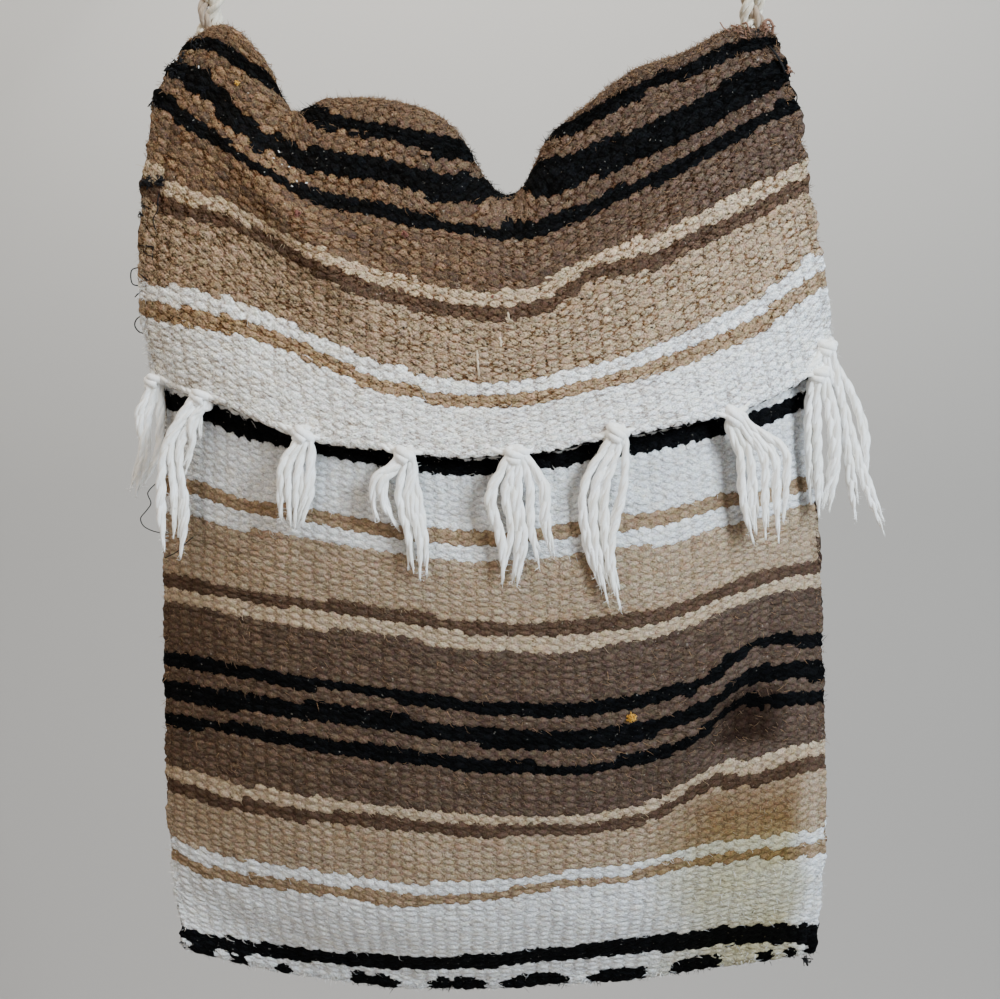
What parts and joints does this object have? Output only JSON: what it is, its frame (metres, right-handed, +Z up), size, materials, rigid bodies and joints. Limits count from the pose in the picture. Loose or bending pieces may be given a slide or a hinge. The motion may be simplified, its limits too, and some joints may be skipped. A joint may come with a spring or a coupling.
{
  "type": "woven shoulder bag",
  "caption": "Folk wool shoulder bag: a striped woven strip folded into a full pouch, with a knotted fringe on its flap and a braided cord strap.",
  "frame": {"origin": "the point under the top of the strap where the bag hangs", "axes": "+Z up, +X to the bag's right as seen from the front, -Y out of the front; the bag hangs below the origin"},
  "size_m": [0.3465, 0.0854, 0.748],
  "materials": {
    "cloth": "weft-faced wool weave, striped black, brown, tan, cream and white, fuzzy and matt",
    "warp_yarn": "off-white plied yarn, matt",
    "strap_yarn": "braided cream wool with a brown strand, matt"
  },
  "bodies": {
    "root": {"flap": "cloth", "back_panel": "cloth", "front_panel": "cloth", "tassel_1": "warp_yarn", "tassel_2": "warp_yarn", "tassel_3": "warp_yarn", "tassel_4": "warp_yarn", "tassel_5": "warp_yarn", "tassel_6": "warp_yarn", "tassel_7": "warp_yarn", "tassel_8": "warp_yarn", "tassel_9": "warp_yarn", "strap": "strap_yarn"}
  },
  "joints": []
}
